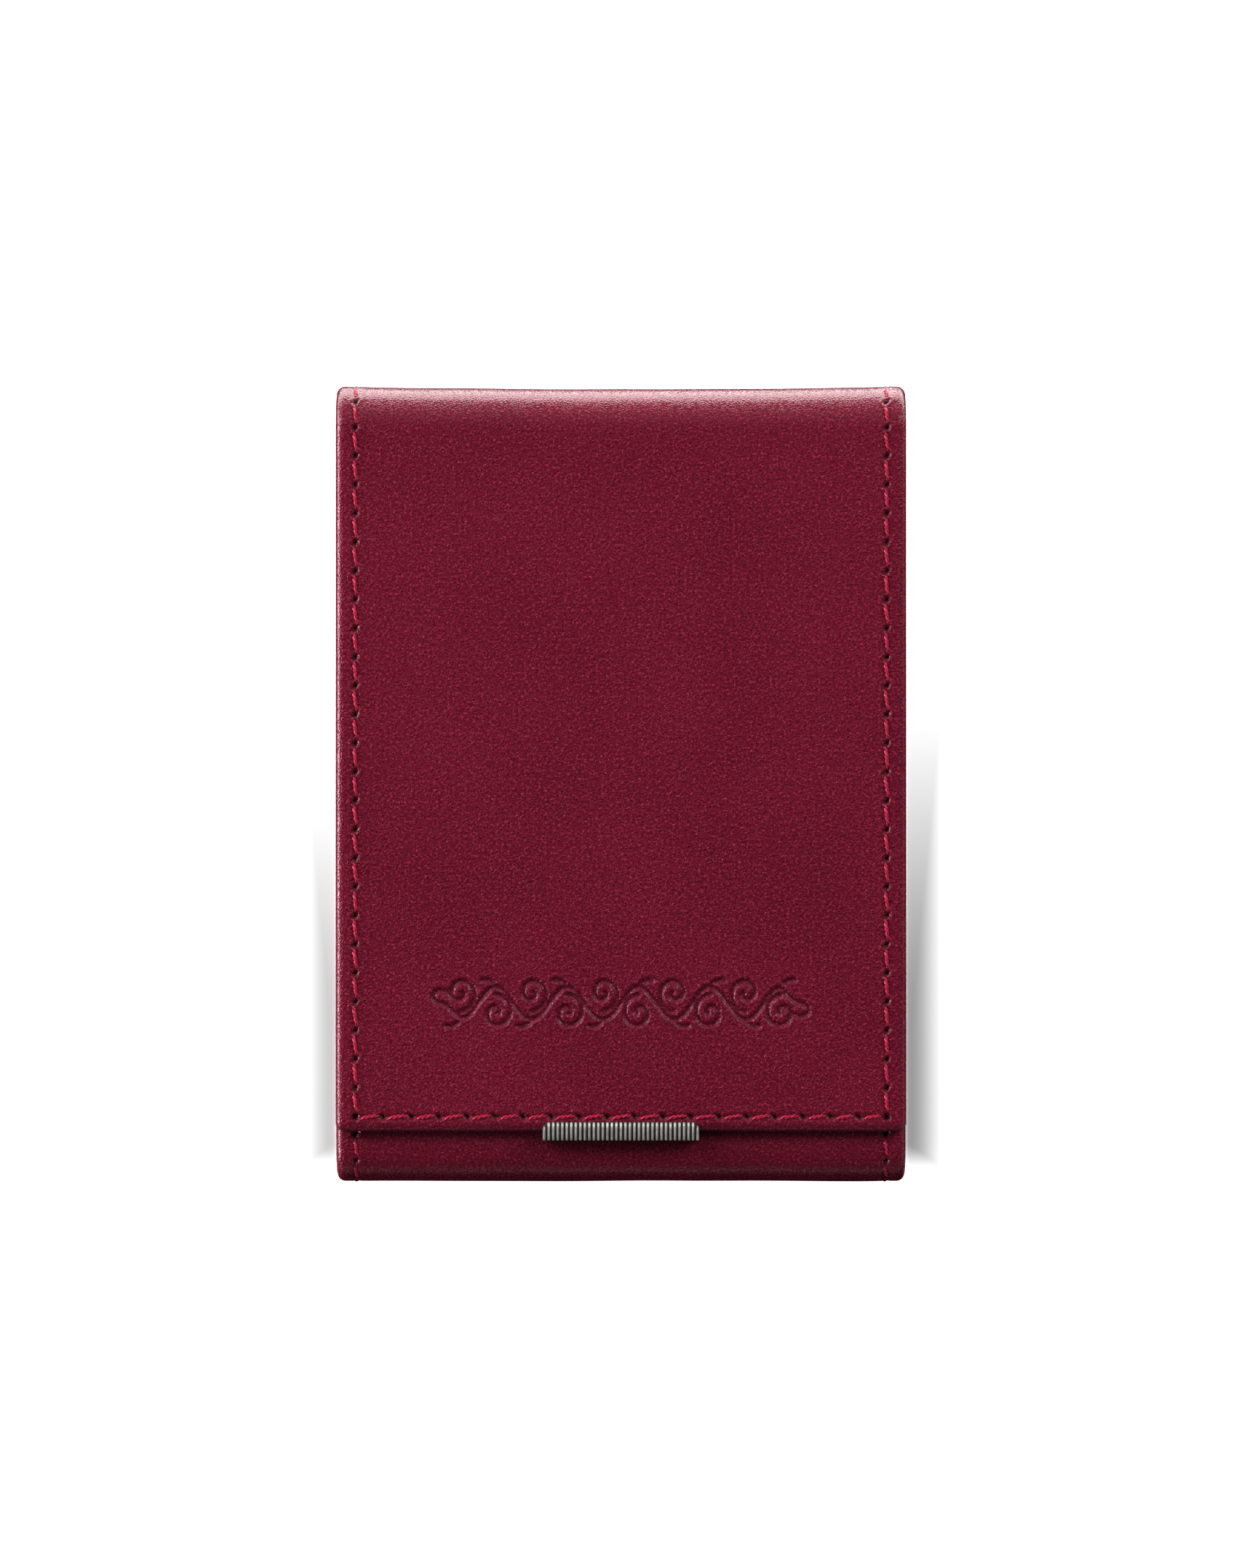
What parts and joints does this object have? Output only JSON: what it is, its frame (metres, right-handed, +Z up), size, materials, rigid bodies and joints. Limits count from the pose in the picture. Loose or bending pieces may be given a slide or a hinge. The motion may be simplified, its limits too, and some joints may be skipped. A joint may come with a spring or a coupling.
{
  "type": "coin album",
  "caption": "Pocket coin album: a stitched leather case with a top-hinged front flap, a ribbed metal trim bar and clamped clear pages of coin pockets that turn up.",
  "frame": {"origin": "centre of the closed case's box, on the plane that its back rests on", "axes": "+Z up through the front flap, +Y along the case towards its top fold, +X to the right as the front is seen"},
  "size_m": [0.08, 0.112, 0.0171],
  "materials": {
    "leather": "smooth burgundy calf leather with a fine grain and a satin sheen",
    "board": "grey bookbinding board",
    "lining": "dark wine-red suede cloth",
    "thread": "waxed twisted red thread",
    "page_film": "clear soft vinyl film",
    "trim_metal": "polished nickel with machined ribs",
    "magnet": "nickel-plated magnet",
    "sheet_steel": "bright sheet steel",
    "screw_metal": "polished brass",
    "spacer_card": "black card"
  },
  "bodies": {
    "back_cover": {"back_board": "board", "back_fold_leather": "leather", "back_leather": "leather", "back_lining": "lining", "back_stitching": "thread", "binding_posts": "screw_metal", "binding_screws": "screw_metal", "bottom_fold_leather": "leather", "clamp_bar": "sheet_steel", "page_1_tab": "page_film", "page_2_tab": "page_film", "page_3_tab": "page_film", "page_4_tab": "page_film", "page_5_tab": "page_film", "tab_spacers": "spacer_card"},
    "top_spine": {"flap_fold_leather": "leather", "top_spine_board": "board", "top_spine_leather": "leather", "top_spine_lining": "lining", "top_spine_stitching": "thread"},
    "flap": {"flap_board": "board", "flap_leather": "leather", "flap_lining": "lining", "flap_magnet": "magnet", "flap_stitching": "thread", "trim_bar": "trim_metal"},
    "bottom_spine": {"bottom_spine_board": "board", "bottom_spine_leather": "leather", "bottom_spine_lining": "lining", "bottom_spine_stitching": "thread", "lip_fold_leather": "leather"},
    "front_lip": {"keeper_plate": "sheet_steel", "lip_board": "board", "lip_leather": "leather", "lip_lining": "lining", "lip_stitching": "thread"},
    "page_1": {"page_1_back_film": "page_film", "page_1_front_film": "page_film"},
    "page_2": {"page_2_back_film": "page_film", "page_2_front_film": "page_film"},
    "page_3": {"page_3_back_film": "page_film", "page_3_front_film": "page_film"},
    "page_4": {"page_4_back_film": "page_film", "page_4_front_film": "page_film"},
    "page_5": {"page_5_back_film": "page_film", "page_5_front_film": "page_film"}
  },
  "joints": [
    {"name": "flap_hinge", "type": "hinge", "parent": "top_spine", "child": "flap", "pos_m": [0, 0.05471, 0.01471], "axis": [-1, 0, 0], "range_deg": [0, 90], "deforming": ["flap_fold_leather"]},
    {"name": "top_spine_hinge", "type": "hinge", "parent": "back_cover", "child": "top_spine", "pos_m": [0, 0.05471, 0.00129], "axis": [-1, 0, 0], "range_deg": [0, 90], "deforming": ["back_fold_leather"]},
    {"name": "bottom_spine_hinge", "type": "hinge", "parent": "back_cover", "child": "bottom_spine", "pos_m": [0, -0.05493, 0.00107], "axis": [1, 0, 0], "range_deg": [0, 90], "deforming": ["bottom_fold_leather"]},
    {"name": "lip_hinge", "type": "hinge", "parent": "bottom_spine", "child": "front_lip", "pos_m": [0, -0.05493, 0.01233], "axis": [1, 0, 0], "range_deg": [0, 90], "deforming": ["lip_fold_leather"]},
    {"name": "page_1_hinge", "type": "hinge", "parent": "back_cover", "child": "page_1", "pos_m": [0, 0.042, 0.00365], "axis": [-1, 0, 0], "range_deg": [0, 19.8]},
    {"name": "page_2_hinge", "type": "hinge", "parent": "back_cover", "child": "page_2", "pos_m": [0, 0.042, 0.00555], "axis": [-1, 0, 0], "range_deg": [0, 39.6]},
    {"name": "page_3_hinge", "type": "hinge", "parent": "back_cover", "child": "page_3", "pos_m": [0, 0.042, 0.00745], "axis": [-1, 0, 0], "range_deg": [0, 59.4]},
    {"name": "page_4_hinge", "type": "hinge", "parent": "back_cover", "child": "page_4", "pos_m": [0, 0.042, 0.00935], "axis": [-1, 0, 0], "range_deg": [0, 79.2]},
    {"name": "page_5_hinge", "type": "hinge", "parent": "back_cover", "child": "page_5", "pos_m": [0, 0.042, 0.01235], "axis": [-1, 0, 0], "range_deg": [0, 171]}
  ],
  "couplings": [
    {"joint": "top_spine_hinge", "follows": "flap_hinge", "ratio": 1},
    {"joint": "bottom_spine_hinge", "follows": "flap_hinge", "ratio": 1},
    {"joint": "lip_hinge", "follows": "flap_hinge", "ratio": 1},
    {"joint": "page_1_hinge", "follows": "flap_hinge", "ratio": 0.22},
    {"joint": "page_2_hinge", "follows": "flap_hinge", "ratio": 0.44},
    {"joint": "page_3_hinge", "follows": "flap_hinge", "ratio": 0.66},
    {"joint": "page_4_hinge", "follows": "flap_hinge", "ratio": 0.88},
    {"joint": "page_5_hinge", "follows": "flap_hinge", "ratio": 1.9}
  ]
}
